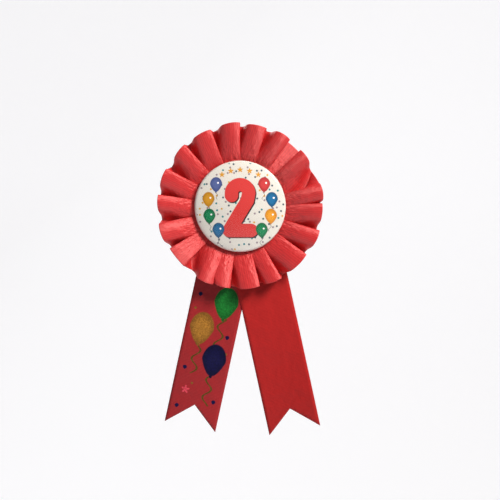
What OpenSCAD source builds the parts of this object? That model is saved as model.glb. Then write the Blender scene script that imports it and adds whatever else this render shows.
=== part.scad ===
// Award ribbon: a pleated satin rosette with a domed button, two swallow-tailed streamers and a
// bar pin behind. Millimetres. +Z is up as worn, the front looks along -Y, and the origin is the
// middle of the pin stem.

/* [Rosette] */
// Diameter over the rim of the pleats
rosette_d = 79; // [76:1:84]
// Width of the ribbon that the rosette is pleated from
pleat_ribbon_w = 25.4; // [24:0.2:25.4]
// Height of a fold ridge above the valley beside it, at the rim
pleat_h_rim = 7; // [5:0.5:8]
// The same height where the pleats are sewn flat, under the button
pleat_h_root = 1; // [0.8:0.1:1]
// Thickness of the folded satin
pleat_t = 0.4; // [0.3:0.05:0.4]
// How far the rosette's centre lies below the pin
pin_above_centre = 8; // [6:1:9]

/* [Button] */
// Diameter of the button
button_d = 44; // [42:1:44]
// Thickness of the button, from its back to the top of the dome
button_h = 5.6; // [5:0.2:6]
// Radius of the rolled edge
button_edge_r = 1.6; // [1.4:0.1:1.8]
// Thickness of the clear film
film_t = 0.15; // [0.1:0.05:0.2]
// Thickness of the printed paper
paper_t = 0.25; // [0.2:0.05:0.3]
// Thickness of the tinplate shell
shell_t = 0.4; // [0.3:0.05:0.4]

/* [Tails] */
// Width of each tail
tail_w = 25; // [22:0.5:26]
// Thickness of the tail ribbon
tail_t = 0.3; // [0.2:0.05:0.4]
// Slant of each tail from the vertical, in degrees
tail_splay = 12.3; // [11:0.1:14]
// Length of the left tail below the point where the two tails cross
left_tail_len = 118; // [110:1:130]
// Length of the right tail below that point
right_tail_len = 120; // [110:1:130]
// Depth of the notch in each tail's end
notch_depth = 11; // [8:0.5:14]
// Distance along a tail to the line where it swings
tail_hinge_at = 57.5; // [57:0.5:62]
// Gap between the held part of a tail and the part that swings
tail_gap = 0.3; // [0.2:0.05:0.4]

/* [Cards] */
// Diameter of the card that the pleats are glued to
front_card_d = 44; // [42:1:46]
// Diameter of the card that covers the back
back_card_d = 48; // [47:1:50]
// Thickness of each card
card_t = 0.8; // [0.6:0.1:1]

/* [Pin] */
// Length of the pin's base bar
bar_l = 30; // [30:1:32]
// Width of the base bar
bar_w = 4.8; // [4.4:0.1:5]
// Thickness of the base bar's sheet metal
bar_t = 0.6; // [0.5:0.05:0.7]
// Thickness of the adhesive foam pad
foam_t = 0.8; // [0.6:0.1:1]
// Height of the stem's axis above the base bar
stem_above_bar = 2; // [2:0.1:2.4]
// Diameter of the pin stem
stem_d = 0.9; // [0.8:0.05:0.9]
// Angle by which the catch roller is turned from open to locked
roller_turn = 0; // [0:5:110]
// Angle by which the pin stem is swung open
stem_swing = 0; // [0:5:100]

/* [Hidden] */
$fn = 96;

// The layers from back to front, as Y of each one's front face.
bar_back_y = -stem_above_bar;
bar_front_y = bar_back_y - bar_t;
foam_y = bar_front_y - foam_t;
back_card_y = foam_y - card_t;
left_tail_y = back_card_y - tail_t;
right_tail_y = left_tail_y - tail_t;
front_card_y = right_tail_y - card_t;
button_y = front_card_y - pleat_t - pleat_h_root - 0.4;

rosette_z = -pin_above_centre;
rim_r = rosette_d / 2;
root_r = rim_r - pleat_ribbon_w;
flat_r = button_d / 2;
thread_r = 0.2;
thread_ring_r = root_r + 3;
glue_r = root_r - 0.3;

// Tails cross at this point, a little above the rosette's centre.
fan_x = 0.8;
fan_z = rosette_z + 9;
tail_top = -8;

// Clockwise angle from the top of each fold ridge, in whole degrees, because hand-laid pleats are a
// little uneven. Down the right side the ridge leads its pleat, and up the left side it ends it.
leading_ridges = [47, 74, 88, 107, 126, 150, 166, 187, 199, 223];
ending_ridges = [239, 258, 278, 297, 318, 339, 360, 379, 397];
wall_a = 1.5;
ring_steps = 7;

// The button's profile: a dome of radius dome_r that runs smoothly into the rolled edge.
edge_x = button_d / 2 - button_edge_r;
dome_rise = button_h - 2 * button_edge_r;
dome_r = (edge_x * edge_x + dome_rise * button_h) / (2 * dome_rise);

staple_w = 9.5;
staple_wire = 0.4;
staple_z = [fan_z + 3, fan_z - 6];

hinge_x = bar_l / 2 - 3;
rivet_r = 0.5;
eye_r = 1.25;
eye_l = 1.2;
eye_bore_r = 0.56;
ear_gap = 1.4;
ear_t = 0.5;
catch_x = -bar_l / 2 + 2;
catch_l = 3;
tab_slot = 1.2;
housing_r = 2;
housing_bore_r = 1.45;
roller_r = 1.35;
roller_bore_r = 0.75;
slot_half_a = 50;
tab_a = 62;
tab_reach = 3.2;

// Draws a shape with its own +Z pointing forward along the rosette's axis, from the plane Y = y.
module on_axis(y) translate([0, y, rosette_z]) rotate([90, 0, 0]) children();

// Draws an outline along +X: the outline's own x runs along Y and its y along Z.
module along_x(x, l) translate([x, 0, 0]) rotate([90, 0, 90]) linear_extrude(l) children();

// ---- button ----

dome_a = asin(edge_x / (dome_r - button_edge_r));

// Half the button's section at depth t inside its outer surface, from the apex to the tucked lip.
function button_line(t, lip_r) = concat(
    [for (i = [0:8]) let (a = dome_a * i / 8)
        [(dome_r - t) * sin(a), button_h - dome_r + (dome_r - t) * cos(a)]],
    [for (i = [1:10]) let (a = 90 - dome_a - (180 - dome_a) * i / 10)
        [edge_x + (button_edge_r - t) * cos(a), button_edge_r + (button_edge_r - t) * sin(a)]],
    [[lip_r, t]]);

function reversed(list) = [for (i = [len(list) - 1:-1:0]) list[i]];

module button_layer(t_out, t_in, lip_r)
    on_axis(button_y) rotate_extrude()
        polygon(concat(button_line(t_out, lip_r), reversed(button_line(t_in, lip_r))));

module clear_film()
    color("white", 0.4) button_layer(0, film_t, edge_x - 1.8);

module artwork_disc()
    color("ivory") button_layer(film_t, film_t + paper_t, edge_x - 1.5);

module button_shell()
    color("silver") button_layer(film_t + paper_t, film_t + paper_t + shell_t, edge_x - 1);

module button_back() {
    lip = film_t + paper_t + shell_t;
    plate_r = edge_x - 2.1;
    color("lightgray") on_axis(button_y) rotate_extrude()
        polygon([[0, 0], [plate_r, 0], [plate_r, lip], [edge_x - 0.2, lip],
                 [edge_x - 0.2, lip + 0.4], [plate_r - 0.4, lip + 0.4], [plate_r - 0.4, 0.4],
                 [0, 0.4]]);
}

module glue_dab()
    color("wheat") difference() {
        on_axis(front_card_y) cylinder(r = glue_r, h = front_card_y - button_y);
        staples(0.05);
    }

// ---- pleats ----

// How far the pleats have opened at radius r: 0 where they are sewn flat, 1 at the rim.
function opening(r) = r <= flat_r ? 0 : 1 - pow((rim_r - r) / (rim_r - flat_r), 1.6);

// Each fold as [angle, level between valley and ridge, side its inner face lies on].
leading_folds = [for (i = [0:len(leading_ridges) - 2])
    let (a = leading_ridges[i], b = leading_ridges[i + 1], l = b - a)
    each [[a, 1, 1], [a + 0.3 * l, 0.97, 0], [a + 0.6 * l, 0.8, 0], [a + 0.8 * l, 0.4, 0],
          [b - wall_a, 0, 1]]];
ending_folds = [for (i = [1:len(ending_ridges) - 1])
    let (a = ending_ridges[i - 1], b = ending_ridges[i], l = b - a)
    each [[a + wall_a, 0, -1], [b - 0.8 * l, 0.4, 0], [b - 0.6 * l, 0.8, 0],
          [b - 0.3 * l, 0.97, 0], [b, 1, -1]]];
box_start = leading_ridges[len(leading_ridges) - 1];
last_ridge = ending_ridges[len(ending_ridges) - 1];
folds = concat(leading_folds,
    [[box_start, 1, 1], [(box_start + ending_ridges[0]) / 2, 0.95, 0], [ending_ridges[0], 1, -1]],
    ending_folds,
    [[last_ridge + wall_a, 0, -1], [leading_ridges[0] + 360 - wall_a, 0, 1]]);

function ring_radius(i) = i == 0 ? root_r : flat_r + (rim_r - flat_r) * (i - 1) / (ring_steps - 2);

// A point on the front (back = 0) or the back (back = 1) of the folded satin.
function fold_point(r, fold, back) =
    let (a = fold[0] + back * fold[2] * pleat_t / r * 180 / PI,
         valley = pleat_t * (1 - opening(r)),
         ridge = pleat_h_root + (pleat_h_rim - pleat_h_root) * opening(r))
    [r * sin(a), r * cos(a), valley + ridge * fold[1] - back * pleat_t];

module pleat_ring() {
    n = len(folds);
    side = ring_steps * n;
    points = [for (back = [0, 1], i = [0:ring_steps - 1], fold = folds)
        fold_point(ring_radius(i), fold, back)];
    skin = [for (i = [0:ring_steps - 2], k = [0:n - 1])
        let (a = i * n + k, b = i * n + (k + 1) % n)
        each [[a, a + n, b + n], [a, b + n, b],
              [side + b, side + b + n, side + a + n], [side + b, side + a + n, side + a]]];
    rim = (ring_steps - 1) * n;
    edges = [for (k = [0:n - 1])
        let (a = k, b = (k + 1) % n)
        each [[a, b, side + b], [a, side + b, side + a],
              [rim + b, rim + a, side + rim + a], [rim + b, side + rim + a, side + rim + b]]];
    color("crimson") on_axis(front_card_y) polyhedron(points = points, faces = concat(skin, edges));
}

module gathering_thread()
    color("firebrick") on_axis(front_card_y) rotate_extrude()
        translate([thread_ring_r, pleat_t + pleat_h_root + thread_r]) circle(r = thread_r, $fn = 16);

// ---- cards and tails ----

// Wires of the two staples, each grown by clear to cut its own holes in the layers.
module staples(clear) {
    half = staple_w / 2;
    wire = staple_wire / 2 + clear;
    front = front_card_y - staple_wire;
    back = back_card_y + staple_wire;
    for (z = staple_z) translate([fan_x, 0, z]) {
        translate([-half - clear, front - clear, -wire])
            cube([staple_w + 2 * clear, staple_wire + clear, 2 * wire]);
        for (s = [-1, 1]) {
            translate([s * (half - staple_wire / 2) - wire, front, -wire])
                cube([2 * wire, back - front + clear, 2 * wire]);
            translate([s * (half - 1.6) - 1.6 - clear, back - staple_wire, -wire])
                cube([3.2 + 2 * clear, staple_wire + clear, 2 * wire]);
        }
    }
}

module tail_staples() color("silver") staples(0);

module front_card()
    color("white") difference() {
        on_axis(right_tail_y) cylinder(d = front_card_d, h = card_t);
        staples(0.05);
    }

module back_card()
    color("white") difference() {
        on_axis(foam_y) cylinder(d = back_card_d, h = card_t);
        staples(0.05);
    }

// Puts an outline, drawn with its length running down from the fan point, on its tail.
module on_tail(back_y, slant)
    translate([fan_x, back_y, fan_z]) rotate([0, slant, 0]) rotate([90, 0, 0])
        linear_extrude(tail_t) children();

module tail_top(back_y, slant)
    difference() {
        on_tail(back_y, slant)
            translate([-tail_w / 2, -tail_hinge_at + tail_gap / 2])
                square([tail_w, tail_hinge_at - tail_gap / 2 - tail_top]);
        staples(0.05);
    }

module tail_end(back_y, slant, l)
    on_tail(back_y, slant)
        polygon([[-tail_w / 2, -tail_hinge_at - tail_gap / 2],
                 [tail_w / 2, -tail_hinge_at - tail_gap / 2], [tail_w / 2, -l],
                 [0, -l + notch_depth], [-tail_w / 2, -l]]);

module right_tail_top() color("firebrick") tail_top(left_tail_y, -tail_splay);
module right_tail() color("firebrick") tail_end(left_tail_y, -tail_splay, right_tail_len);
module left_tail_top() color("brown") tail_top(back_card_y, tail_splay);
module left_tail() color("brown") tail_end(back_card_y, tail_splay, left_tail_len);

// ---- bar pin ----

module foam_pad()
    color("whitesmoke") translate([-bar_l / 2 - 0.3, foam_y, -bar_w / 2 - 0.3])
        cube([bar_l + 0.6, foam_t, bar_w + 0.6]);

// A wedge of the catch's section, open towards +Y.
module slot_wedge(r)
    polygon([[0, 0], [r * cos(slot_half_a), -r * sin(slot_half_a)],
             [r, -r * sin(slot_half_a)], [r, r * sin(slot_half_a)],
             [r * cos(slot_half_a), r * sin(slot_half_a)]]);

module housing_band(x, l)
    along_x(x, l) difference() {
        union() {
            circle(r = housing_r);
            translate([bar_back_y - 0.1, -1.3]) square([1.2, 2.6]);
        }
        circle(r = housing_bore_r);
        slot_wedge(4);
    }

module hinge_ear(z)
    translate([hinge_x, 0, z]) linear_extrude(ear_t) difference() {
        union() {
            circle(r = 1.4);
            translate([-1.4, bar_back_y - 0.1]) square([2.8, stem_above_bar + 0.1]);
        }
        circle(r = rivet_r);
    }

module pin_base() {
    band_l = (catch_l - tab_slot) / 2;
    color("gainsboro") {
        translate([-bar_l / 2 + bar_w / 2, bar_front_y, -bar_w / 2])
            cube([bar_l - bar_w, bar_t, bar_w]);
        for (s = [-1, 1]) translate([s * (bar_l - bar_w) / 2, bar_back_y, 0])
            rotate([90, 0, 0]) cylinder(d = bar_w, h = bar_t);
        hinge_ear(ear_gap / 2);
        hinge_ear(-ear_gap / 2 - ear_t);
        housing_band(catch_x - catch_l / 2, band_l);
        housing_band(catch_x + catch_l / 2 - band_l, band_l);
    }
}

module hinge_rivet() {
    half = ear_gap / 2 + ear_t;
    color("silver") translate([hinge_x, 0, 0]) {
        translate([0, 0, -half]) cylinder(r = rivet_r, h = 2 * half);
        for (z = [half, -half - 0.25]) translate([0, 0, z]) cylinder(r = 0.85, h = 0.25);
    }
}

// A round wire along X from x0 to x1.
module wire(x0, x1, d0, d1)
    translate([x0, 0, 0]) rotate([0, 90, 0]) cylinder(d1 = d0, d2 = d1, h = x1 - x0);

module pin_stem() {
    shoulder = hinge_x - 1.7;
    shaft_end = catch_x + catch_l / 2 + 0.3;
    tip = catch_x - catch_l / 2 - 0.1;
    color("silver")
        translate([hinge_x, 0, 0]) rotate([0, 0, -stem_swing]) translate([-hinge_x, 0, 0])
        difference() {
            union() {
                translate([hinge_x, 0, -eye_l / 2]) cylinder(r = eye_r, h = eye_l);
                wire(shoulder, hinge_x - 0.9, stem_d, stem_d + 0.2);
                wire(shaft_end, shoulder, stem_d, stem_d);
                wire(tip, shaft_end, 0.16, stem_d);
            }
            translate([hinge_x, 0, -eye_l]) cylinder(r = eye_bore_r, h = 2 * eye_l);
        }
}

module catch_roller() {
    color("silver") rotate([-roller_turn, 0, 0]) {
        along_x(catch_x - catch_l / 2 - 0.2, catch_l + 0.4) difference() {
            circle(r = roller_r);
            circle(r = roller_bore_r);
            slot_wedge(4);
        }
        along_x(catch_x - 0.5, 1) rotate(tab_a) {
            translate([1, -0.3]) square([tab_reach - 1, 0.6]);
            translate([tab_reach, 0]) circle(r = 0.45);
        }
    }
}

clear_film();
artwork_disc();
button_shell();
button_back();
glue_dab();
gathering_thread();
pleat_ring();
front_card();
tail_staples();
right_tail_top();
right_tail();
left_tail_top();
left_tail();
back_card();
foam_pad();
pin_base();
hinge_rivet();
pin_stem();
catch_roller();
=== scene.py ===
# %% [markdown]
# # An award ribbon
# A pleated satin rosette with a domed button in its middle, two swallow-tailed ribbons that hang
# below it, and a bar pin behind. The design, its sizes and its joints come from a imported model, the
# frame. This lesson builds the looks around it: real ribbon, a printed badge, card, foam and
# plated metal. Everything is in metres, +Z is up and the front looks along -Y.

# %% Frame
import math
import random

import bmesh
import bpy
from mathutils import Matrix, Vector


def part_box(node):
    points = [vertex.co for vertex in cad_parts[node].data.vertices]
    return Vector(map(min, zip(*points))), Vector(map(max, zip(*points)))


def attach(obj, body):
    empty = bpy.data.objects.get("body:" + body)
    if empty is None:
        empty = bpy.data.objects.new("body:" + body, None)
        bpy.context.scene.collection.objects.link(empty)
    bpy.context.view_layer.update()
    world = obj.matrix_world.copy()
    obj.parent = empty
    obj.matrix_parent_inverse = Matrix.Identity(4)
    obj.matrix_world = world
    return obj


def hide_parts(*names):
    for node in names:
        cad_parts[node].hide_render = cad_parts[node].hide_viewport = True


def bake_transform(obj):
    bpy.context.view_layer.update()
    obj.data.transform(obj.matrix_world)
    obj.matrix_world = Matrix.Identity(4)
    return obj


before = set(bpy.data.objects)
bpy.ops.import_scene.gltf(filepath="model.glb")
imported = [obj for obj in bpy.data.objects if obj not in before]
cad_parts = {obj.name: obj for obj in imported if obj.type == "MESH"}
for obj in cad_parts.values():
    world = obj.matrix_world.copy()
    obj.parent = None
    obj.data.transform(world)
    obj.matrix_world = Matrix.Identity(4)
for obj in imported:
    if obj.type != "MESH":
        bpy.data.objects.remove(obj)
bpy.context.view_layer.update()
random.seed(7)

MM = 0.001

film_low, film_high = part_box("clear_film")
card_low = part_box("front_card")[0]
ring_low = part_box("pleat_ring")[0]
centre = Vector((0, 0, (film_low.z + film_high.z) / 2))
button_r = (film_high.x - film_low.x) / 2 / MM
button_h = (film_high.y - film_low.y) / MM
print(f"rosette centre {centre.z / MM:.1f} mm below the pin, button {2 * button_r:.0f} mm across")

# %% [markdown]
# ## Camera
# The ribbon is seen straight from the front, as on someone's chest. A long lens from 0.7 m away
# keeps the pleats round the rim from looking larger than those near the button. The view is 237 mm
# wide, and the rosette sits a little left of the middle and above it, so that the tails fit below.

# %% Camera
scene = bpy.context.scene
VIEW_WIDTH = 0.2375
CAMERA_AWAY = 0.70
SENSOR = 36
AIM_RIGHT, AIM_DOWN = 0.0047, 0.0209

camera_data = bpy.data.cameras.new("camera")
camera_data.sensor_width = SENSOR
camera_data.lens = SENSOR * CAMERA_AWAY / VIEW_WIDTH
camera = bpy.data.objects.new("camera", camera_data)
camera.location = (AIM_RIGHT, ring_low.y - CAMERA_AWAY, centre.z - AIM_DOWN)
camera.rotation_euler = (math.radians(90), 0, 0)
scene.collection.objects.link(camera)
scene.camera = camera
print(f"lens {camera_data.lens:.0f} mm")

# %% [markdown]
# ## Small helpers
# A bmesh becomes an object in one place, so that each piece rides on its body, shades smoothly and
# names its finish. Round pieces are drawn flat in millimetres, with +Z towards the viewer, and one
# transform stands them up on the rosette's axis. Modifiers are applied at once, because the pieces
# that bend need their final mesh.

# %% Helpers for meshes
def upright(plane_y):
    """Stands a drawing in mm, +Z forward, on the rosette's axis, with its back at plane_y."""
    turn = Matrix.Rotation(math.radians(90), 4, "X")
    return Matrix.Translation((0, plane_y, centre.z)) @ turn @ Matrix.Scale(MM, 4)


def to_object(bm, name, material, sharp=40, body="root", stands_for=()):
    """Makes a bmesh an object of the scene, smooth except at edges over sharp degrees."""
    for face in bm.faces:
        face.smooth = True
    for edge in bm.edges:
        if len(edge.link_faces) == 2 and edge.calc_face_angle() > math.radians(sharp):
            edge.smooth = False
    mesh = bpy.data.meshes.new(name)
    bm.to_mesh(mesh)
    bm.free()
    piece = bpy.data.objects.new(name, mesh)
    scene.collection.objects.link(piece)
    mesh.materials.append(material)
    if body:
        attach(piece, body)
    if stands_for:
        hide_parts(*stands_for)
    print(f"{name}: {len(mesh.polygons)} faces")
    return piece


def apply_modifiers(piece):
    """Swaps the piece's mesh for what its modifiers make of it."""
    graph = bpy.context.evaluated_depsgraph_get()
    mesh = bpy.data.meshes.new_from_object(piece.evaluated_get(graph))
    piece.modifiers.clear()
    piece.data = mesh
    mesh.name = piece.name


def thicken(piece, thickness, back, levels=0):
    """Gives a skin its thickness, its back face another finish, and rounds it by subdivision."""
    piece.data.materials.append(back)
    solid = piece.modifiers.new("thickness", "SOLIDIFY")
    solid.thickness = thickness
    solid.offset = 0.0
    solid.material_offset = 1
    if levels:
        rounding = piece.modifiers.new("rounding", "SUBSURF")
        rounding.levels = levels
        rounding.render_levels = levels
    apply_modifiers(piece)


def mix(a, b, t):
    return a + (b - a) * t


# %% [markdown]
# ## Materials
# Every finish is a node tree. One function adds a node with its settings and inputs: an input that
# is a socket is linked, and any other value is set. Colours are written as sRGB hex, as a paint
# chart gives them, and turned to linear light once.

# %% Helpers for materials
def colour(code):
    """A linear colour from an sRGB hex code."""
    parts = [int(code[i:i + 2], 16) / 255 for i in (1, 3, 5)]
    return [c / 12.92 if c <= 0.04045 else ((c + 0.055) / 1.055) ** 2.4 for c in parts] + [1.0]


def add(tree, kind, inputs=None, **settings):
    """Adds a shader node. inputs maps a socket's name or number to a value or another socket."""
    node = tree.nodes.new(kind if kind.startswith("Node") else "ShaderNode" + kind)
    for key, value in settings.items():
        setattr(node, key, value)
    for name, value in (inputs or {}).items():
        if isinstance(value, bpy.types.NodeSocket):
            tree.links.new(value, node.inputs[name])
        else:
            node.inputs[name].default_value = value
    return node


def new_material(name):
    """An empty material with its output, as (material, tree, output)."""
    material = bpy.data.materials.new(name)
    material.use_nodes = True
    material.node_tree.nodes.clear()
    return material, material.node_tree, add(material.node_tree, "OutputMaterial")


def object_mm(tree):
    """Where a point of the piece is, in millimetres from the rosette's centre."""
    place = add(tree, "TexCoord").outputs["Object"]
    return add(tree, "Mapping", {"Vector": place, "Location": (0, 0, -centre.z / MM),
                                 "Scale": (1 / MM, 1 / MM, 1 / MM)}).outputs[0]


# %% [markdown]
# ### Printed shapes
# The badge and one tail are printed with plain party motifs: balloons, curly strings, dots, stars
# and a numeral. Print has no thickness, so it belongs in the colour, not in the mesh. Four node
# groups measure how far a point is from a shape: a straight stroke, an oval, part of a circle's
# line and a star. A shape is inked wherever that distance is small, and a chain of Mix nodes lays
# each ink over the one before, as a press does.

# %% Making a node group
def new_group(name, vectors, numbers=()):
    """A node group that measures from Point, with these other inputs, as (group, input node)."""
    group = bpy.data.node_groups.new(name, "ShaderNodeTree")
    for labels, kind in ((["Point", *vectors], "NodeSocketVector"), (numbers, "NodeSocketFloat")):
        for label in labels:
            group.interface.new_socket(label, in_out="INPUT", socket_type=kind)
    group.interface.new_socket("Distance", in_out="OUTPUT", socket_type="NodeSocketFloat")
    return group, add(group, "NodeGroupInput")


def way_from(group, given, start):
    """The way to the point from another of the group's inputs."""
    return add(group, "VectorMath", {0: given.outputs["Point"], 1: given.outputs[start]},
               operation="SUBTRACT").outputs[0]


def close_group(group, value):
    """Ends a group with the distance that it has worked out."""
    add(group, "NodeGroupOutput", {"Distance": value})
    return group


# %% [markdown]
# A point's nearest place on a stroke is its foot on the line. The foot's share of the way is
# clamped to between 0 and 1, which gives the stroke round ends.

# %% Stroke
def stroke_group():
    """Distance from a point to the straight line between two others."""
    group, given = new_group("stroke", ["From", "To"])
    along = add(group, "VectorMath", {0: given.outputs["To"], 1: given.outputs["From"]},
                operation="SUBTRACT").outputs[0]
    off = way_from(group, given, "From")
    reach = add(group, "VectorMath", {0: off, 1: along}, operation="DOT_PRODUCT").outputs["Value"]
    full = add(group, "VectorMath", {0: along, 1: along}, operation="DOT_PRODUCT").outputs["Value"]
    share = add(group, "Math", {0: reach, 1: full}, operation="DIVIDE", use_clamp=True).outputs[0]
    foot = add(group, "VectorMath", {0: along, "Scale": share}, operation="SCALE").outputs[0]
    gap = add(group, "VectorMath", {0: off, 1: foot}, operation="DISTANCE").outputs["Value"]
    return close_group(group, gap)


# %% [markdown]
# A balloon is an oval that narrows towards its knot. Its lower half is measured as if it were
# further out to the sides, up to 1.45 times at the bottom. A dot is a small one of these.

# %% Oval
BALLOON_TAPER = 1.45


def oval_group():
    """How far out a point lies in an oval that narrows downwards: 1 on its outline."""
    group, given = new_group("oval", ["Centre", "Radii"])
    scaled = add(group, "VectorMath", {0: way_from(group, given, "Centre"),
                                       1: given.outputs["Radii"]}, operation="DIVIDE").outputs[0]
    parts = add(group, "SeparateXYZ", {0: scaled})
    low = add(group, "Math", {0: parts.outputs["Y"], 1: -1.0}, operation="MULTIPLY").outputs[0]
    taper = add(group, "MapRange", {"Value": low, "From Min": 0.0, "From Max": 1.0,
                                    "To Min": 1.0, "To Max": BALLOON_TAPER}).outputs[0]
    x = add(group, "Math", {0: parts.outputs["X"], 1: taper}, operation="MULTIPLY").outputs[0]
    shaped = add(group, "CombineXYZ", {"X": x, "Y": parts.outputs["Y"]}).outputs[0]
    return close_group(group, add(group, "VectorMath", {0: shaped}, operation="LENGTH").outputs[1])


# %% [markdown]
# The top of the numeral is the upper part of a circle's line. Below a level the distance grows
# steeply, so the line ends there.

# %% Arc
LEVEL_STEEPNESS = 8.0


def arc_group():
    """Distance to a circle's line, kept to the part of it that lies above a level."""
    group, given = new_group("arc", ["Centre"], ["Radius", "Level"])
    away = add(group, "VectorMath", {0: given.outputs["Point"], 1: given.outputs["Centre"]},
               operation="DISTANCE").outputs["Value"]
    off = add(group, "Math", {0: away, 1: given.outputs["Radius"]}, operation="SUBTRACT").outputs[0]
    gap = add(group, "Math", {0: off}, operation="ABSOLUTE").outputs[0]
    y = add(group, "SeparateXYZ", {0: given.outputs["Point"]}).outputs["Y"]
    under = add(group, "Math", {0: given.outputs["Level"], 1: y}, operation="SUBTRACT").outputs[0]
    under = add(group, "Math", {0: under, 1: LEVEL_STEEPNESS}, operation="MULTIPLY").outputs[0]
    kept = add(group, "Math", {0: gap, 1: under}, operation="MAXIMUM").outputs[0]
    return close_group(group, kept)


# %% [markdown]
# A star's outline swings five times between an outer and an inner radius on the way round, so a
# cosine of five times the angle draws it.

# %% Star
STAR_WAIST = 0.45


def star_group():
    """How far out a point lies in a five-pointed star of the given radius: 1 on its outline."""
    group, given = new_group("star", ["Centre"], ["Radius"])
    off = way_from(group, given, "Centre")
    away = add(group, "VectorMath", {0: off}, operation="LENGTH").outputs["Value"]
    parts = add(group, "SeparateXYZ", {0: off})
    turn = add(group, "Math", {0: parts.outputs["X"], 1: parts.outputs["Y"]},
               operation="ARCTAN2").outputs[0]
    five = add(group, "Math", {0: turn, 1: 5.0}, operation="MULTIPLY").outputs[0]
    wave = add(group, "Math", {0: five}, operation="COSINE").outputs[0]
    edge = add(group, "MapRange", {"Value": wave, "From Min": -1.0, "To Min": STAR_WAIST,
                                   "To Max": 1.0}).outputs[0]
    reach = add(group, "Math", {0: edge, 1: given.outputs["Radius"]},
                operation="MULTIPLY").outputs[0]
    share = add(group, "Math", {0: away, 1: reach}, operation="DIVIDE").outputs[0]
    return close_group(group, share)


STROKE, OVAL, ARC, STAR = stroke_group(), oval_group(), arc_group(), star_group()


# %% [markdown]
# A press lays its inks in order, and so does this small class. It keeps the colour so far and how
# far the ground is covered, which tells a metallic ink from bare satin.

# %% Laying inks
# How softly ink ends: a share of the size of a dot, star or balloon, and millimetres at a stroke.
DOT_EDGE, BALLOON_EDGE, STROKE_EDGE = 0.12, 0.035, 0.08


class Print:
    """Inks laid one over another on a ground colour. place gives x and y in millimetres."""

    def __init__(self, tree, place, ground):
        self.tree, self.place, self.colour = tree, place, ground
        self.inked = 0.0

    def lay(self, mask, ink):
        self.colour = add(self.tree, "Mix", {0: mask, 6: self.colour, 7: ink},
                          data_type="RGBA").outputs[2]
        self.inked = add(self.tree, "Math", {0: mask, 1: self.inked},
                         operation="MAXIMUM").outputs[0]

    def within(self, distance, edge, soft):
        """1 where the distance is below edge, blending over soft."""
        return add(self.tree, "MapRange", {"Value": distance, "From Min": edge - soft,
                                           "From Max": edge + soft, "To Min": 1.0,
                                           "To Max": 0.0}).outputs[0]

    def measure(self, group, **given):
        """The distance that a node group measures from each point of the print."""
        return add(self.tree, "Group", {"Point": self.place, **given}, node_tree=group).outputs[0]

    def oval(self, x, y, rx, ry):
        return self.measure(OVAL, Centre=(x, y, 0), Radii=(rx, ry, 1))

    def arc(self, x, y, r, level):
        return self.measure(ARC, Centre=(x, y, 0), Radius=r, Level=level)

    def path(self, points, nearest=None):
        """Distance to a line through the points, and to an earlier shape if one is given."""
        for start, end in zip(points, points[1:]):
            gap = self.measure(STROKE, From=(*start, 0), To=(*end, 0))
            nearest = gap if nearest is None else add(
                self.tree, "Math", {0: nearest, 1: gap}, operation="MINIMUM").outputs[0]
        return nearest

    def star(self, x, y, r, ink):
        shape = self.measure(STAR, Centre=(x, y, 0), Radius=r)
        self.lay(self.within(shape, 1.0, DOT_EDGE), ink)

    def dot(self, x, y, r, ink):
        self.lay(self.within(self.oval(x, y, r, r), 1.0, DOT_EDGE), ink)

    def stroke(self, points, width, ink):
        self.lay(self.within(self.path(points), width / 2, STROKE_EDGE), ink)

    def balloon(self, x, y, rx, ry, ink, dark, shine=None):
        """A balloon with a darker edge, a knot and, where shine is a colour, a small highlight."""
        shape = self.oval(x, y, rx, ry)
        rim = add(self.tree, "MapRange", {"Value": shape, "From Min": 0.45, "From Max": 1.05})
        shaded = add(self.tree, "Mix", {0: rim.outputs[0], 6: ink, 7: dark},
                     data_type="RGBA").outputs[2]
        self.dot(x, y - 1.04 * ry, 0.13 * rx, dark)
        self.lay(self.within(shape, 1.0, BALLOON_EDGE), shaded)
        if shine:
            self.dot(x + 0.32 * rx, y + 0.2 * ry, 0.16 * rx, shine)


# %% [markdown]
# Balloon strings curl. Each is a straight stroke, but the print is first swayed sideways in a wave
# down its height, and the stroke takes that wave on.

# %% Curled strings
def swayed(tree, x, y, pace, reach):
    """The print's place with x swayed by reach mm, pace radians for each mm of y."""
    turn = add(tree, "Math", {0: y, 1: pace}, operation="MULTIPLY").outputs[0]
    wave = add(tree, "Math", {0: turn}, operation="SINE").outputs[0]
    sway = add(tree, "Math", {0: wave, 1: reach}, operation="MULTIPLY").outputs[0]
    moved = add(tree, "Math", {0: x, 1: sway}, operation="ADD").outputs[0]
    return add(tree, "CombineXYZ", {"X": moved, "Y": y}).outputs[0]


# %% [markdown]
# ## Pleated ribbon
# The rosette is one strip of 25 mm satin, laid in box and knife pleats round a circle and sewn flat
# near its inner edge. It could be cloth-simulated, but pleats are set with an iron, so their folds
# are known. It starts as a flat grid, along the ribbon by across it. Each row across is then laid
# on its fold line: ridge, face, inner fold and the layer that comes back under the next ridge.
# At the inner edge the layers lie flat on each other, and towards the rim they stand up.

# %% Fold plan
# Radii in mm: the sewn inner edge, where the layers start to open, and the rim.
ROOT_R, FLAT_R, RIM_R = 14.1, 22.0, 39.5
# Ridges in clockwise degrees from the top. LEADING faces lie after their ridge, ENDING before it.
LEADING = [47, 74, 88, 107, 126, 150, 166, 187, 199, 223]
ENDING = [239, 258, 278, 297, 318, 339, 360, 379, 397]
# How wide each pleat's face is at the rim, in mm.
LEADING_FACE = [7.4, 8.3, 8.7, 8.8, 11.3, 8.2, 10.0, 8.6, 8.4]
ENDING_FACE = [9.2, 7.9, 8.8, 8.2, 9.1, 9.3, 9.5, 7.8]
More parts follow.
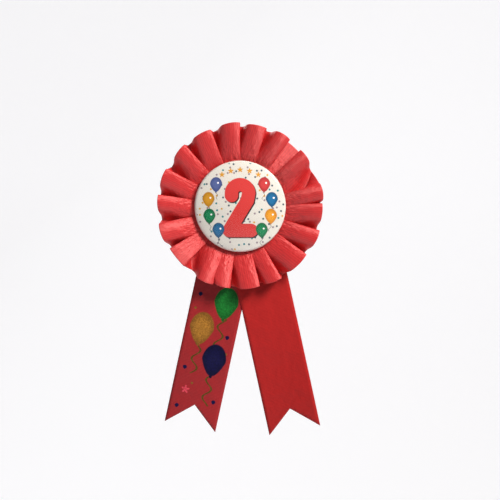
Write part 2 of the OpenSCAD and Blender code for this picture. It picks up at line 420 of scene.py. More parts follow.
# Hand gathering leaves some faces rising from their ridge; those beside the flat runs rise most.
LEADING_TILT = [0.14, 0.08, 0.0, 0.06, 0.0, 0.0, 0.03, 0.06, 0.12]
ENDING_TILT = [0.12, 0.0, -0.03, -0.04, 0.0, 0.0, 0.06, 0.14]
RIM_HEIGHT, ROOT_HEIGHT = 6.3, 1.0
# Ribbon in one pleat, in mm. It is the same at every radius, because ribbon doesn't stretch.
PLEAT_LENGTH = 23.3
ribbon_plane = card_low.y

# %% One pleat
def rise(r):
    """How far the pleats have opened at radius r: 0 where they are sewn, 1 at the rim."""
    if r <= FLAT_R:
        return 0.0
    return 1 - ((RIM_R - r) / (RIM_R - FLAT_R)) ** 1.7


def pleat_section(pitch_deg, face, tilt, tall, bulge, r):
    """One pleat at radius r as (distance from its ridge, height) in mm, up to the next ridge."""
    out = max(0.0, (r - FLAT_R) / (RIM_R - FLAT_R))
    pitch = math.radians(pitch_deg) * r
    rim_gap = math.radians(pitch_deg) * RIM_R - face
    high = (ROOT_HEIGHT + (RIM_HEIGHT - ROOT_HEIGHT) * rise(r)) * mix(1, tall, out)
    fold = mix(0.5 * (PLEAT_LENGTH + pitch), min(face + 4.4, pitch + 0.25), out ** 1.7)
    floor = 0.05 + (high - 0.05) * min(0.6, max(0.0, (0.9 - rim_gap) / 1.6)) * out
    face_end = min(face - 0.05 * (RIM_R - r), fold - mix(0.8, 1.6, out))
    valley = mix(face_end, fold, mix(0.8, 0.6, out))

    def face_height(t):
        sag = mix(0.45, 0.12, out ** 0.5) * (t / face_end) ** 1.8
        bow = bulge * mix(0.1, 1.0, out ** 0.5) * math.sin(math.pi * t / face_end)
        return floor + 0.3 + (high - floor - 0.3) * (1 - sag) + bow + tilt * t * out ** 0.5

    low = floor + 0.12
    end = face_height(face_end)
    # In order: the ridge, the face, the drop into the fold, the fold, and the layer coming back.
    points = [(0.12, high - mix(0.3, 1.0, out)), (0.0, high - mix(0.12, 0.3, out)),
              (0.35, high + 0.02)]
    points += [(face_end * q, face_height(face_end * q)) for q in (0.14, 0.3, 0.5, 0.72, 0.9)]
    points += [(mix(face_end, valley, q), mix(end, low, drop))
               for q, drop in ((0.0, 0.07), (0.35, 0.4), (0.7, 0.84), (1.0, 0.98))]
    points += [(fold, floor + 0.1), (fold - 0.12, floor + 0.34)]
    points += [(mix(fold - 0.1, pitch + 0.14, q), mix(floor + 0.34, high - 0.8, q))
               for q in (0.3, 0.6, 0.85)]
    return points


# %% [markdown]
# The strip starts with a flat stretch at the upper right, and its last pleat comes down on that.
# Nine knife pleats follow on the right, then one box pleat with a flat top at the lower left, and
# eight knife pleats that face the other way.

# %% The whole strip
def ribbon_section(r):
    """The ribbon at radius r as (clockwise degrees, height in mm), from end to end."""
    per_mm = math.degrees(1 / r)
    line = [(31, 0.25), (35, 0.12), (39, 0.1), (43, 0.1), (47, 0.12), (50, 0.2)]
    line += [(50.4, 0.4), (49, 0.3 + 0.35 * rise(r) * RIM_HEIGHT)]
    for i, (start, end) in enumerate(zip(LEADING, LEADING[1:])):
        section = pleat_section(end - start, LEADING_FACE[i], LEADING_TILT[i], tallness[i],
                                bulges[i], r)
        for t, h in section:
            line.append((start + t * per_mm, h))
    start, end = LEADING[-1], ENDING[0]
    high = ROOT_HEIGHT + (RIM_HEIGHT - ROOT_HEIGHT) * rise(r)
    for q, h in ((0.01, 0.88), (0.0, 0.96), (0.03, 1), (0.2, 0.99), (0.4, 0.975), (0.6, 0.975),
                 (0.8, 0.99), (0.97, 1), (1.0, 0.96), (0.99, 0.88)):
        line.append((mix(start, end, q), h * high))
    for i, (start, end) in enumerate(zip(ENDING, ENDING[1:])):
        section = pleat_section(end - start, ENDING_FACE[i], ENDING_TILT[i], tallness[-1 - i],
                                bulges[-1 - i], r)
        for t, h in reversed(section):
            line.append((end - t * per_mm, h))
    line += [(ENDING[-1] - 1.0, 0.45 * high), (ENDING[-1] - 3, 0.3)]
    return line


tallness = [random.uniform(0.92, 1.04) for _ in range(len(LEADING) + len(ENDING))]
bulges = [random.uniform(0.8, 1.4) for _ in tallness]
columns = len(ribbon_section(RIM_R))
print(f"{len(LEADING) + len(ENDING) - 2} knife pleats and a box pleat, {columns} points along")


def folded_length(r):
    """The way along all the folds at radius r, in mm."""
    line = [(math.radians(degrees) * r, height) for degrees, height in ribbon_section(r)]
    return sum(math.dist(p, q) for p, q in zip(line, line[1:]))


for r in (ROOT_R, FLAT_R, RIM_R):
    print(f"at {r:.1f} mm from the centre the ribbon is {folded_length(r):.0f} mm long")

# %% Pleated ribbon
RINGS = 22
# Cut size in metres. The length is the way along the folds at the rim.
RIBBON_LENGTH = 0.419
RIBBON_WIDTH = 0.0254


def pleated_ribbon(material):
    bm = bmesh.new()
    uv = bm.loops.layers.uv.new("ribbon")
    bmesh.ops.create_grid(bm, x_segments=columns - 1, y_segments=RINGS - 1, size=0.5,
                          calc_uvs=False)
    radii = [mix(ROOT_R, RIM_R, k / (RINGS - 1)) for k in range(RINGS)]
    sections = [(r, ribbon_section(r)) for r in radii]
    spots = {}
    for v in bm.verts:
        i = round((v.co.x + 0.5) * (columns - 1))
        k = round((v.co.y + 0.5) * (RINGS - 1))
        spots[v] = (i / (columns - 1), k / (RINGS - 1))
        r, section = sections[k]
        degrees, height = section[i]
        # The raised folds reach furthest out; the valleys draw the edge in between them.
        out = (k / (RINGS - 1)) ** 2
        ripple = (0.3 * math.sin(0.21 * i + 1.3) - 1.3 * (1 - height / RIM_HEIGHT)) * out
        a = math.radians(degrees)
        v.co = ((r + ripple) * math.sin(a), (r + ripple) * math.cos(a), height)
    for face in bm.faces:
        for loop in face.loops:
            loop[uv].uv = spots[loop.vert]
    bmesh.ops.transform(bm, matrix=upright(ribbon_plane - 0.25 * MM), verts=bm.verts)
    ribbon = to_object(bm, "pleated_ribbon", material, sharp=180,
                       stands_for=["pleat_ring"])
    thicken(ribbon, 0.2 * MM, satin_back, levels=1)

# %% [markdown]
# ## Satin
# Polyester satin is woven with long warp floats that run along the ribbon. They act like fine
# parallel fibres: light glances off them in a band across the fibres, so a pleat flashes pink where
# it faces round the circle the right way, and stays deep red elsewhere. That is an anisotropic
# highlight, with its tangent taken from the ribbon's own UV map. The fine rib across the ribbon is
# a real weft of about 0.35 mm, drawn at 0.7 mm so that it shows, and it only tilts the surface.

# %% Satin material
# One unit of a tail's UV map is this many millimetres of ribbon, both ways.
UV_SPAN = 150.0


def satin_base(tree, length_mm, width_mm):
    """The ribbon's own millimetres, and a bump of weft ribs, warp slubs and soft handling marks."""
    place = add(tree, "UVMap", uv_map="ribbon").outputs[0]
    mm = add(tree, "Mapping", {"Vector": place, "Scale": (length_mm, width_mm, 1)}).outputs[0]
    ribs = add(tree, "TexWave", {"Vector": mm, "Scale": 0.45, "Distortion": 0.6, "Detail": 2.0,
                                 "Detail Scale": 2.0}, bands_direction="X").outputs["Fac"]
    floats = add(tree, "TexNoise", {"Vector": add(tree, "Mapping", {
        "Vector": mm, "Scale": (0.25, 5.0, 1)}).outputs[0], "Scale": 1.0, "Detail": 3.0}).outputs[0]
    soft = add(tree, "TexNoise", {"Vector": mm, "Scale": 0.16, "Detail": 2.0}).outputs[0]
    weave = add(tree, "Mix", {0: 0.45, 2: ribs, 3: floats}).outputs[0]
    fine = add(tree, "Bump", {"Height": weave, "Strength": 0.3, "Distance": 0.00004}).outputs[0]
    bump = add(tree, "Bump", {"Height": soft, "Normal": fine, "Strength": 0.5,
                              "Distance": 0.0012}).outputs[0]
    return mm, weave, floats, bump


def puckered(tree, mm, bump):
    """Adds the small puckers that the gathering stitches pull, which fade out across the ribbon."""
    puckers = add(tree, "TexNoise", {"Vector": add(tree, "Mapping", {
        "Vector": mm, "Scale": (0.9, 0.4, 1)}).outputs[0], "Scale": 1.0, "Detail": 3.0}).outputs[0]
    across = add(tree, "SeparateXYZ", {0: mm}).outputs["Y"]
    near = add(tree, "MapRange", {"Value": across, "From Min": 8.0, "From Max": 20.0,
                                  "To Min": 1.0, "To Max": 0.35}).outputs[0]
    height = add(tree, "Math", {0: puckers, 1: near}, operation="MULTIPLY").outputs[0]
    return add(tree, "Bump", {"Height": height, "Normal": bump, "Strength": 0.8,
                              "Distance": 0.0009}).outputs[0]


def woven_red(tree, weave, light, dark):
    """The satin's colour, which moves between two close reds with its weave."""
    tint = add(tree, "MapRange", {"Value": weave, "From Min": 0.3, "From Max": 0.7}).outputs[0]
    return add(tree, "Mix", {0: tint, 6: colour(dark), 7: colour(light)},
               data_type="RGBA").outputs[2]


def satin_shader(tree, output, base, floats, bump, rough, finish):
    """Ends a satin: its highlight is stretched across the fibres. finish holds set values."""
    tangent = add(tree, "Tangent", direction_type="UV_MAP", uv_map="ribbon").outputs[0]
    roughness = add(tree, "MapRange", {"Value": floats, "To Min": rough - 0.06,
                                       "To Max": rough + 0.06}).outputs[0]
    shader = add(tree, "BsdfPrincipled", {
        "Base Color": base, "Roughness": roughness, "Normal": bump, "Tangent": tangent,
        "Anisotropic Rotation": 0.25, "Sheen Roughness": 0.4, **finish}).outputs[0]
    tree.links.new(shader, output.inputs[0])


def satin(name, length_mm, width_mm, light, dark, rough, shine, fibres=0.88, gathered=False):
    material, tree, output = new_material(name)
    mm, weave, floats, bump = satin_base(tree, length_mm, width_mm)
    if gathered:
        bump = puckered(tree, mm, bump)
    satin_shader(tree, output, woven_red(tree, weave, light, dark), floats, bump, rough, {
        "Anisotropic": fibres, "Specular IOR Level": shine, "IOR": 1.65,
        "Specular Tint": colour("#FFB4B4"), "Sheen Weight": 0.015,
        "Sheen Tint": colour("#F0787E")})
    return material


satin_back = satin("satin_back", UV_SPAN, UV_SPAN, "#A32627", "#972022", 0.75, 0.15)
pleat_satin = satin("pleat_satin", RIBBON_LENGTH / MM, RIBBON_WIDTH / MM, "#C22729", "#B22224",
                    0.56, 1.0, fibres=0.78, gathered=True)
pleated_ribbon(pleat_satin)

# %% [markdown]
# ## Tails
# Each tail is one length of satin ribbon, stapled between two cards and cut to a swallow tail.
# A flat grid is cut twice with bisect_plane for the notch. It hangs flat where the two tails lie
# on each other, and below that it eases backwards in a slow wave, as ribbon off a roll does. The
# frame hinges each tail below the rosette.

# %% Tails
# Millimetres along a tail are counted down from the fan point, where the two tails cross.
TAIL_WIDTH = 25.0
TAIL_TOP = -8.0
RIGHT_LENGTH, LEFT_LENGTH = 120, 118
NOTCH = 11.0
SPLAY = math.radians(12.3)
FAN = Vector((0.8, 0, 1.0))
# The tails lie flat on each other down to 58 mm, so neither leaves its plane above that.
FLAT_TO, WAVE_SPAN = 58, 62
RIGHT_LEAN, LEFT_LEAN = 6.5, 3.2
TAIL_ACROSS, TAIL_DOWN = 16, 96
# The UV map starts this far above the fan point, so that the whole ribbon is on it.
UV_ABOVE = 10.0


def on_tail(side, u, s, y):
    """A point u across and s down a tail from the fan point; side is 1 right, -1 left."""
    along = Vector((side * math.sin(SPLAY), 0, -math.cos(SPLAY)))
    across = Vector((math.cos(SPLAY), 0, side * math.sin(SPLAY)))
    return (FAN + along * s + across * u + Vector((0, y, 0))) * MM


def tail_wave(side, u, s):
    """How far the ribbon has eased off its plane, in mm, towards +Y."""
    out = max(0.0, s - FLAT_TO) / WAVE_SPAN
    lean = (RIGHT_LEAN if side > 0 else LEFT_LEAN) * out * out
    swell = 0.75 * math.sin(s * 0.085 + side * 0.8 + 0.03 * u) * min(1.0, out * 2)
    curl = -side * 0.004 * u * u * min(1.0, out * 1.5)
    # Only the right tail twists.
    twist = -0.09 * (1 + side) * u * out
    return lean + swell + curl + twist


# %% Making a tail
def hanging_tail(name, side, length, plane_y, material, nodes):
    bm = bmesh.new()
    uv = bm.loops.layers.uv.new("ribbon")
    bmesh.ops.create_grid(bm, x_segments=TAIL_ACROSS, y_segments=TAIL_DOWN, size=0.5)
    for v in bm.verts:
        v.co = (v.co.x * TAIL_WIDTH, mix(TAIL_TOP, length, v.co.y + 0.5), 0)
    # Each half is cut on its own, so the grid is parted along its middle first.
    middle = [e for e in bm.edges if all(abs(v.co.x) < 0.01 for v in e.verts)]
    bmesh.ops.split_edges(bm, edges=middle)
    for lean in (-1, 1):
        low_edge = Vector((lean * TAIL_WIDTH / 2, length, 0))
        slope = Vector((-lean * TAIL_WIDTH / 2, -NOTCH, 0))
        normal = Vector((-slope.y, slope.x, 0)) * lean
        half = [f for f in bm.faces if f.calc_center_median().x * lean > 0]
        edges = list(dict.fromkeys(e for f in half for e in f.edges))
        verts = list(dict.fromkeys(v for f in half for v in f.verts))
        bmesh.ops.bisect_plane(bm, geom=half + edges + verts, plane_co=low_edge, plane_no=normal,
                               clear_outer=normal.y > 0, clear_inner=normal.y < 0)
    bmesh.ops.remove_doubles(bm, verts=bm.verts, dist=0.02)
    for face in bm.faces:
        for loop in face.loops:
            x, s = loop.vert.co.x, loop.vert.co.y
            loop[uv].uv = ((s + UV_ABOVE) / UV_SPAN, (x + TAIL_WIDTH / 2) / UV_SPAN)
    for v in bm.verts:
        u, s = v.co.x, v.co.y
        v.co = on_tail(side, u, s, plane_y + tail_wave(side, u, s))
    bmesh.ops.recalc_face_normals(bm, faces=bm.faces)
    if sum(f.normal.y for f in bm.faces) > 0:
        bmesh.ops.reverse_faces(bm, faces=bm.faces)
    tail = to_object(bm, name, material, body=None, stands_for=nodes)
    thicken(tail, 0.2 * MM, satin_back)
    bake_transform(tail)


# %% [markdown]
# ### Print on the left tail
# Screen print lies on top of the satin in metallic inks. Three balloons are staggered, one to each
# side in turn, with curled strings, dots and a star. The tail's UV map runs down its length and
# across it, so the print reads its x across the ribbon and its y upwards from the fan point.

# %% Inks and places of the tail's print
TAIL_BALLOONS = [(4.5, -56.0), (-4.5, -70.0), (4.5, -84.0)]
TAIL_BALLOON_RX, TAIL_BALLOON_RY = 5.8, 7.8
TAIL_DOTS = [(-8.5, -54), (8.5, -72), (-8.5, -90), (8.5, -104), (-8.5, -109)]
TAIL_SPECKS = [(-9.5, -61), (9.5, -80), (-3.5, -97), (3.0, -110)]
# A string ends this far below the middle of its balloon.
STRING_END = 22
INK = {"gold": colour("#A8742E"), "gold_dark": colour("#7E5320"), "olive": colour("#554518"),
       "navy": colour("#110F3E"), "navy_dark": colour("#0B0A2C"),
       "green": colour("#1E7A30"), "green_dark": colour("#145A22"), "pink": colour("#D84858")}


def tail_print(tree, mm, ground):
    """The party print of the left tail on its ground colour. mm is down and across the ribbon."""
    parts = add(tree, "SeparateXYZ", {0: mm})
    x = add(tree, "Math", {0: parts.outputs["Y"], 1: TAIL_WIDTH / 2},
            operation="SUBTRACT").outputs[0]
    y = add(tree, "Math", {0: UV_ABOVE, 1: parts.outputs["X"]}, operation="SUBTRACT").outputs[0]
    place = add(tree, "CombineXYZ", {"X": x, "Y": y}).outputs[0]
    art = Print(tree, place, ground)
    for spot in TAIL_DOTS:
        art.dot(*spot, 1.0, INK["navy"])
    for spot in TAIL_SPECKS:
        art.dot(*spot, 0.6, INK["gold_dark"])
    art.place = swayed(tree, x, y, pace=0.72, reach=1.7)
    for x_knot, y_knot in TAIL_BALLOONS:
        art.stroke([(x_knot, y_knot - TAIL_BALLOON_RY), (x_knot, y_knot - STRING_END)],
                   width=0.95, ink=INK["olive"])
    art.place = place
    for spot, ink in zip(TAIL_BALLOONS, ("green", "gold", "navy")):
        art.balloon(*spot, TAIL_BALLOON_RX, TAIL_BALLOON_RY, INK[ink], INK[ink + "_dark"])
    art.star(-6.0, -100.5, 2.0, INK["pink"])
    return art


# %% Materials of the tails
# The tails' reds are set darker than the rosette's satin: painted shade for the lesser light on the
# hanging tails.
tail_satin = satin("tail_satin", UV_SPAN, UV_SPAN, "#A62322", "#9C1F1F", 0.55, 0.22)


def printed_satin():
    """The left tail: red satin screen-printed with party balloons, strings, a star and dots."""
    material, tree, output = new_material("printed_tail_satin")
    mm, weave, floats, bump = satin_base(tree, UV_SPAN, UV_SPAN)
    art = tail_print(tree, mm, woven_red(tree, weave, "#962428", "#8C1E22"))
    # Metallic inks are ground flakes, cells of about 0.5 mm, each its own shade; partly the flakes'
    # own tone, partly painted sparkle, as brighter flakes stand in for glints.
    flakes = add(tree, "TexVoronoi", {"Vector": mm, "Scale": 2.2}).outputs["Color"]
    flake_tone_and_glint = add(tree, "MapRange", {"Value": flakes, "From Min": 0.2, "From Max": 0.9,
                                     "To Min": 0.75, "To Max": 1.35}).outputs[0]
    inked_tone_and_glint = add(tree, "Mix", {0: art.inked, 6: (1, 1, 1, 1), 7: flake_tone_and_glint},
                data_type="RGBA").outputs[2]
    face = add(tree, "Mix", {0: 1.0, 6: art.colour, 7: inked_tone_and_glint}, data_type="RGBA",
               blend_type="MULTIPLY").outputs[2]
    metal = add(tree, "Math", {0: art.inked, 1: 0.35}, operation="MULTIPLY").outputs[0]
    satin_shader(tree, output, face, floats, bump, 0.5, {
        "Metallic": metal, "Anisotropic": 0.7, "Specular IOR Level": 0.25,
        "Sheen Weight": 0.03, "Sheen Tint": colour("#E0666C")})
    return material


# %% Both tails
right_low, right_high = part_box("right_tail")
left_low, left_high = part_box("left_tail")
hanging_tail("right_tail_ribbon", 1, RIGHT_LENGTH, (right_low.y + right_high.y) / 2 / MM,
             tail_satin, ["right_tail_top", "right_tail"])
hanging_tail("left_tail_ribbon", -1, LEFT_LENGTH, (left_low.y + left_high.y) / 2 / MM,
             printed_satin(),
             ["left_tail_top", "left_tail"])

# %% [markdown]
# ## Button
# The badge in the middle is a stock tinplate button: a domed shell with printed paper and a clear
# film drawn over it and tucked under its edge. The layers are turned shapes, so each section is
# spun about the axis. Film and paper are rebuilt so that the gloss runs smoothly over the dome.

# %% Button film and paper
# The dome is a large arc that meets the small arc of the edge, both in millimetres.
EDGE_R = 1.6
ARC_STEPS = 12
SPIN_STEPS = 128
edge_x = button_r - EDGE_R
dome_rise = button_h - 2 * EDGE_R
dome_r = (edge_x ** 2 + dome_rise * button_h) / (2 * dome_rise)
dome_a = math.asin(edge_x / (dome_r - EDGE_R))
button_plane = film_high.y


def button_line(t, lip_r):
    """Half the button's section at depth t in it, from the apex round to the tucked lip, in mm."""
    line = []
    for i in range(ARC_STEPS + 1):
        a = dome_a * i / ARC_STEPS
        line.append(((dome_r - t) * math.sin(a), button_h - dome_r + (dome_r - t) * math.cos(a)))
    for i in range(1, ARC_STEPS + 1):
        a = math.pi / 2 - dome_a - (math.pi - dome_a) * i / ARC_STEPS
        line.append((edge_x + (EDGE_R - t) * math.cos(a), EDGE_R + (EDGE_R - t) * math.sin(a)))
    return line + [(lip_r, t)]


def spun(section):
    """A turned shape about Z from its section, a line of (radius, height) points."""
    bm = bmesh.new()
    verts = [bm.verts.new((r, 0, z)) for r, z in section]
    edges = [bm.edges.new(pair) for pair in zip(verts, verts[1:])]
    bmesh.ops.spin(bm, geom=verts + edges, cent=(0, 0, 0), axis=(0, 0, 1), angle=2 * math.pi,
                   steps=SPIN_STEPS, use_merge=True)
    bmesh.ops.remove_doubles(bm, verts=bm.verts, dist=0.001)
    bmesh.ops.recalc_face_normals(bm, faces=bm.faces)
    return bm


def button_skin(name, outer, inner, lip_r, material, node):
    bm = spun(button_line(outer, lip_r) + button_line(inner, lip_r)[::-1])
    bmesh.ops.transform(bm, matrix=upright(button_plane), verts=bm.verts)
    to_object(bm, name, material, sharp=60, stands_for=[node])


# %% [markdown]
# ### Badge artwork
# The paper is printed with a numeral, balloons on strings, small stars and confetti. All of it is
# drawn with the strokes and ovals from above. The numeral is laid twice, first in black and a
# little down to the right, which leaves a thin drop shadow. Coated paper under film looks even and
# slightly warm.

# %% Inks and places on the badge
NUMERAL_ARC = (0.0, 6.1, 4.1, 6.1)
NUMERAL_HOOK = [(-4.1, 6.1), (-4.1, 5.0)]
NUMERAL_LINE = [(4.1, 6.1), (3.4, 2.6), (-5.2, -11.6), (5.2, -11.6)]
NUMERAL_STROKE = 6.4
SHADOW_SHIFT = 0.5
# Each ink, and the darker one that shades it.
BADGE_INK = {"blue": ("#1D6C9E", "#104A70"), "green": ("#0B8250", "#075C38"),
             "orange": ("#DE9A2E", "#C27A18"), "red": ("#C63C3E", "#A02A2E"),
             "purple": ("#55659C", "#3D4B82"), "gold": ("#D09526", "#AE7614")}
WHITE, STRING = colour("#FFFFFF"), colour("#3B3A44")
# Four balloons stand down each side, evenly spaced on one circle, and five stars at the top.
BALLOON_CIRCLE, BALLOON_RX, BALLOON_RY = 15.4, 2.9, 3.5
BALLOONS = {48: "red", 78: "blue", 108: "orange", 138: "green",
            -48: "purple", -78: "gold", -108: "green", -138: "blue"}
STAR_CIRCLE, STAR_R = 17.3, 1.35
STAR_DEGREES = (-30, -15, 0, 15, 30)


def on_circle(r, degrees):
    """The spot r mm from the badge's centre, at clockwise degrees from its top."""
    return r * math.sin(math.radians(degrees)), r * math.cos(math.radians(degrees))


# %% [markdown]
# Confetti is one dot in each cell of about 3 mm. A random colour of the cell picks its ink from a
# stepped ramp. The dots stop at the edge of the dome, where the paper turns down the button's side.

# %% Confetti
CONFETTI = [(0.0, "#4C5A66"), (0.38, "#2C7E86"), (0.5, "#CFA03E"), (0.6, "#8F7F88")]


def lay_confetti(tree, art):
    cells = add(tree, "TexVoronoi", {"Vector": art.place, "Scale": 0.31, "Randomness": 0.9},
                voronoi_dimensions="2D")
    ink = add(tree, "ValToRGB", {0: cells.outputs["Color"]})
    ramp = ink.color_ramp
    ramp.interpolation = "CONSTANT"
    ramp.elements.remove(ramp.elements[-1])
    for step, code in CONFETTI:
        stop = ramp.elements[0] if step == 0.0 else ramp.elements.new(step)
        stop.position, stop.color = step, colour(code)
    away = add(tree, "VectorMath", {0: art.place}, operation="LENGTH").outputs["Value"]
    on_dome = art.within(away, edge_x + 0.7, 0.1)
    dots = add(tree, "Math", {0: art.within(cells.outputs["Distance"], 0.15, 0.02), 1: on_dome},
               operation="MULTIPLY").outputs[0]
    art.lay(dots, ink.outputs[0])


# %% Numeral
def lay_numeral(art, shift, ink):
    """A figure two, moved right and down by shift mm."""
    x, y, r, level = NUMERAL_ARC
    shape = art.arc(x + shift, y - shift, r, level - shift)
    for line in (NUMERAL_HOOK, NUMERAL_LINE):
        shape = art.path([(px + shift, py - shift) for px, py in line], shape)
    art.lay(art.within(shape, NUMERAL_STROKE / 2, STROKE_EDGE), ink)


# %% Printed paper
def badge_paper():
    material, tree, output = new_material("coated_print_paper")
    mm = object_mm(tree)
    parts = add(tree, "SeparateXYZ", {0: mm})
    x, y = parts.outputs["X"], parts.outputs["Z"]
    place = add(tree, "CombineXYZ", {"X": x, "Y": y}).outputs[0]
    art = Print(tree, place, colour("#D9D6CF"))
    lay_confetti(tree, art)
    art.place = swayed(tree, x, y, pace=2.1, reach=0.45)
    for degrees in BALLOONS:
        bx, by = on_circle(BALLOON_CIRCLE, degrees)
        art.stroke([(bx, by - BALLOON_RY), (0.94 * bx, by - BALLOON_RY - 3.6)],
                   width=0.22, ink=STRING)
    art.place = place
    lay_numeral(art, SHADOW_SHIFT, colour("#2B2023"))
    lay_numeral(art, 0.0, colour("#CF3C3A"))
    for degrees, ink in BALLOONS.items():
        light, dark = (colour(code) for code in BADGE_INK[ink])
        art.balloon(*on_circle(BALLOON_CIRCLE, degrees), BALLOON_RX, BALLOON_RY, light, dark, WHITE)
    for degrees in STAR_DEGREES:
        art.star(*on_circle(STAR_CIRCLE, degrees), STAR_R, colour(BADGE_INK["gold"][0]))
    grain = add(tree, "TexNoise", {"Vector": mm, "Scale": 6.0, "Detail": 2.0}).outputs[0]
    bump = add(tree, "Bump", {"Height": grain, "Strength": 0.05, "Distance": 0.00001}).outputs[0]
    shader = add(tree, "BsdfPrincipled", {"Base Color": art.colour, "Roughness": 0.6,
                                          "Specular IOR Level": 0.1, "Normal": bump}).outputs[0]
    tree.links.new(shader, output.inputs[0])
    return material


# %% [markdown]
# The film is polyester, 0.12 mm thick and clear. It needs no glass refraction: what the eye gets
# is a sharp reflection that grows towards the edge over paper that stays fully lit. So it is a
# Transparent shader mixed with a Glossy one by viewing angle, and light still reaches the print.

# %% Film
def clear_film():
    material, tree, output = new_material("clear_polyester_film")
    mm = object_mm(tree)
    # Film stretched over a dome keeps faint draw marks, a few millimetres apart.
    waves = add(tree, "TexNoise", {"Vector": mm, "Scale": 0.12, "Detail": 1.0}).outputs[0]
    scuffs = add(tree, "TexNoise", {"Vector": mm, "Scale": 1.5, "Detail": 4.0}).outputs[0]
    bump = add(tree, "Bump", {"Height": waves, "Strength": 0.25, "Distance": 0.0006}).outputs[0]
    rough = add(tree, "MapRange", {"Value": scuffs, "To Min": 0.05, "To Max": 0.13}).outputs[0]
    clear = add(tree, "BsdfTransparent").outputs[0]
    gloss = add(tree, "BsdfAnisotropic", {"Roughness": rough, "Normal": bump}).outputs[0]
    # Both walls of the film count alike, so the share of gloss comes from the angle alone.
    facing = add(tree, "LayerWeight", {"Blend": 0.5, "Normal": bump}).outputs["Facing"]
    steep = add(tree, "Math", {0: facing, 1: 5.0}, operation="POWER").outputs[0]
    share = add(tree, "MapRange", {"Value": steep, "To Min": 0.045, "To Max": 1.0}).outputs[0]
    shader = add(tree, "MixShader", {0: share, 1: clear, 2: gloss}).outputs[0]
    tree.links.new(shader, output.inputs[0])
    return material


# For each skin: how deep its two faces lie in the button, and the radius that it tucks in to.
button_skin("button_film", 0, 0.12, edge_x - 1.8, clear_film(), "clear_film")
button_skin("button_paper", 0.17, 0.38, edge_x - 1.5, badge_paper(), "artwork_disc")

# %% [markdown]
# ## Metal, card, foam and glue
# The back of the ribbon is plain hardware. Nickel plate is bright with fine polishing marks, zinc
# wire is duller, tinplate is lightly brushed. Board shows short fibres and foam shows closed cells.
# Each finish takes its pattern from millimetres on the piece.

# %% Plain finishes
def finish_material(name, base, other, rough, spread, scale, stretch=(1, 1, 1), metallic=0.0,
                    depth=0.00002, cells=False, subsurface=0.0):
    """A finish with two close colours, a roughness range and a bump from one pattern in mm."""
    material, tree, output = new_material(name)
    place = add(tree, "Mapping", {"Vector": object_mm(tree), "Scale": stretch}).outputs[0]
    if cells:
        pattern = add(tree, "TexVoronoi", {"Vector": place, "Scale": scale}).outputs["Distance"]
    else:
        pattern = add(tree, "TexNoise", {"Vector": place, "Scale": scale,
                                         "Detail": 5.0}).outputs[0]
    wide = add(tree, "TexNoise", {"Vector": object_mm(tree), "Scale": 0.15,
                                  "Detail": 3.0}).outputs[0]
    both = add(tree, "Mix", {0: 0.5, 2: pattern, 3: wide}).outputs[0]
    tint = add(tree, "Mix", {0: both, 6: colour(base), 7: colour(other)},
               data_type="RGBA").outputs[2]
    roughness = add(tree, "MapRange", {"Value": both, "From Min": 0.25, "From Max": 0.75,
                                       "To Min": rough, "To Max": rough + spread}).outputs[0]
    bump = add(tree, "Bump", {"Height": pattern, "Strength": 0.5, "Distance": depth}).outputs[0]
    shader = add(tree, "BsdfPrincipled", {"Base Color": tint, "Metallic": metallic,
                                          "Roughness": roughness, "Normal": bump,
                                          "Subsurface Weight": subsurface,
                                          "Subsurface Scale": 0.001}).outputs[0]
    tree.links.new(shader, output.inputs[0])
    return material


nickel = finish_material("nickel_plated_steel", "#D3D0C9", "#C2BEB6", 0.16, 0.14, 3.0,
                         stretch=(0.2, 3, 3), metallic=1.0)
pin_wire = finish_material("drawn_nickel_wire", "#D0CDC7", "#BDB9B1", 0.14, 0.12, 3.0,
                           stretch=(0.1, 4, 4), metallic=1.0)
zinc = finish_material("zinc_plated_wire", "#BFC1C2", "#A9ABAC", 0.28, 0.15, 4.0, metallic=1.0)
tinplate = finish_material("brushed_tinplate", "#C4C6C8", "#B2B4B6", 0.22, 0.18, 2.0,
                           stretch=(0.15, 3, 3), metallic=1.0)
board = finish_material("white_lined_board", "#F1EEE6", "#DCD7CA", 0.78, 0.15, 2.2,
                        stretch=(1, 1, 2.5), depth=0.00005)
foam = finish_material("closed_cell_foam", "#DCDAD3", "#C3C1B9", 0.7, 0.2, 2.4, cells=True,
                       depth=0.00012, subsurface=0.3)
hot_glue = finish_material("hot_melt_glue", "#E9DFC4", "#D9CBA4", 0.3, 0.15, 0.5, depth=0.0002,
                           subsurface=0.5)
thread = finish_material("polyester_thread", "#A3262B", "#7E191E", 0.55, 0.2, 3.0,
                         stretch=(3, 3, 1), depth=0.00006)
for node, finish in (("button_shell", tinplate), ("button_back", tinplate), ("glue_dab", hot_glue),
                     ("gathering_thread", thread), ("front_card", board)):
    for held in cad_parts[node].material_slots:
        held.material = finish

# %% [markdown]
# ## Hardware with real edges
# Stamped and die-cut parts never have knife edges. Each exact solid is copied, its loose triangles
# are merged into clean faces, and its sharp edges are bevelled by a few hundredths of a millimetre.
# The rounded edge is what catches the light.

# %% Softened hardware
def softened(node, name, material, body, width):
    """A merged copy of a frame solid, with its sharp edges rounded by width mm."""
    bm = bmesh.new()
    bm.from_mesh(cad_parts[node].data)
    bmesh.ops.remove_doubles(bm, verts=bm.verts, dist=0.002 * MM)
    bmesh.ops.dissolve_limit(bm, angle_limit=math.radians(1.5), verts=bm.verts, edges=bm.edges)
    hard = [e for e in bm.edges
            if len(e.link_faces) == 2 and e.calc_face_angle() > math.radians(38)]
    bmesh.ops.bevel(bm, geom=hard, offset=width * MM, offset_type="OFFSET", segments=2,
                    profile=0.5, affect="EDGES", clamp_overlap=True, material=-1)
    to_object(bm, name, material, sharp=50, body=body, stands_for=[node])


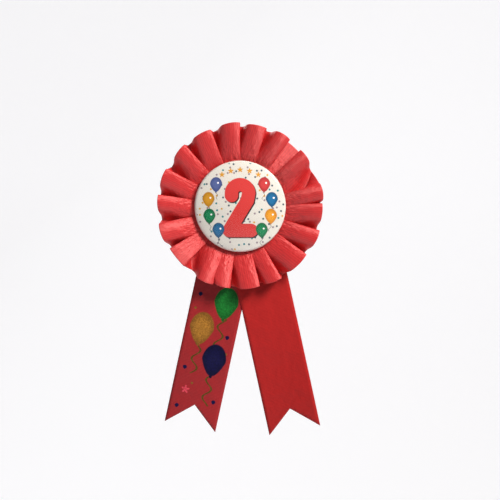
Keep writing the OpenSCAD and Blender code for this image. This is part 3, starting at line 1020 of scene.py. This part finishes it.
softened("pin_base", "bar_pin_base", nickel, "root", 0.09)
softened("hinge_rivet", "bar_pin_rivet", nickel, "root", 0.1)
softened("pin_stem", "bar_pin_stem", pin_wire, "stem", 0.05)
softened("catch_roller", "bar_pin_roller", nickel, "roller", 0.07)
softened("tail_staples", "card_staples", zinc, "root", 0.11)
softened("back_card", "back_card_disc", board, "root", 0.12)
softened("foam_pad", "mounting_pad", foam, "root", 0.22)

# %% [markdown]
# ## Studio
# A pale sweep stands well behind and below, so that no shadow falls close to the ribbon. One large
# soft light at the upper right in front is the key; it is what makes the pleats at the upper right
# and the lower left flash. Weaker ones fill from the left and from above, and one behind lights the
# back.

# %% Studio
FLOOR_Z, WALL_Y, WALL_TOP, CURVE_R, HALF = -0.62, 1.3, 6.0, 0.7, 9.0


def sweep():
    """A floor that curves up into a wall, in metres, and glows a little."""
    bm = bmesh.new()
    foot = WALL_Y - CURVE_R
    line = [(-HALF, FLOOR_Z), (foot, FLOOR_Z)]
    for i in range(1, ARC_STEPS + 1):
        a = math.pi / 2 * i / ARC_STEPS
        line.append((foot + CURVE_R * math.sin(a), FLOOR_Z + CURVE_R * (1 - math.cos(a))))
    line.append((WALL_Y, WALL_TOP))
    verts = [bm.verts.new((-HALF, y, z)) for y, z in line]
    edges = [bm.edges.new(pair) for pair in zip(verts, verts[1:])]
    wide = bmesh.ops.extrude_edge_only(bm, edges=edges)["geom"]
    bmesh.ops.translate(bm, vec=(2 * HALF, 0, 0),
                        verts=[g for g in wide if isinstance(g, bmesh.types.BMVert)])
    bmesh.ops.recalc_face_normals(bm, faces=bm.faces)
    for face in bm.faces:
        face.smooth = True
    mesh = bpy.data.meshes.new("sweep")
    bm.to_mesh(mesh)
    bm.free()
    backdrop = bpy.data.objects.new("sweep", mesh)
    scene.collection.objects.link(backdrop)
    material, tree, output = new_material("matte_paper_sweep")
    # The floor dims towards the front, so that the badge's film mirrors no bright edge of it.
    y = add(tree, "SeparateXYZ", {0: add(tree, "TexCoord").outputs["Object"]}).outputs["Y"]
    glow = add(tree, "MapRange", {"Value": y, "From Min": -3.8, "From Max": 0.2, "To Min": 0.12,
                                  "To Max": 0.62}, interpolation_type="SMOOTHSTEP").outputs[0]
    shader = add(tree, "BsdfPrincipled", {"Base Color": colour("#B4B4B6"), "Roughness": 0.9,
                                          "Emission Color": colour("#FAFAFC"),
                                          "Emission Strength": glow})
    tree.links.new(shader.outputs[0], output.inputs[0])
    mesh.materials.append(material)


def soft_light(name, place, size, power, tint="#FFFFFF"):
    """A round lamp turned to the rosette: place and size in metres, power in watts."""
    data = bpy.data.lights.new(name, "AREA")
    data.shape = "DISK"
    data.size = size
    data.energy = power
    data.color = colour(tint)[:3]
    light = bpy.data.objects.new(name, data)
    light.location = place
    light.rotation_euler = (centre - Vector(place)).to_track_quat("-Z", "Y").to_euler()
    scene.collection.objects.link(light)


sweep()
soft_light("key", (0.50, -0.52, 0.50), 0.34, 13, "#FFF8F0")
soft_light("fill", (-0.9, -0.9, 0.1), 0.8, 0.6, "#F2F5FF")
soft_light("top", (0.0, -0.2, 1.1), 0.7, 2)
soft_light("behind", (-0.5, 0.9, 0.5), 0.7, 5)

world = bpy.data.worlds.new("studio")
world.use_nodes = True
background = world.node_tree.nodes["Background"]
background.inputs["Color"].default_value = colour("#F4F5F8")
background.inputs["Strength"].default_value = 0.14
scene.world = world
scene.view_settings.view_transform = "Standard"

# %% [markdown]
# ## Finish
# The view layer is brought up to date once more.

# %% Finish
bpy.context.view_layer.update()
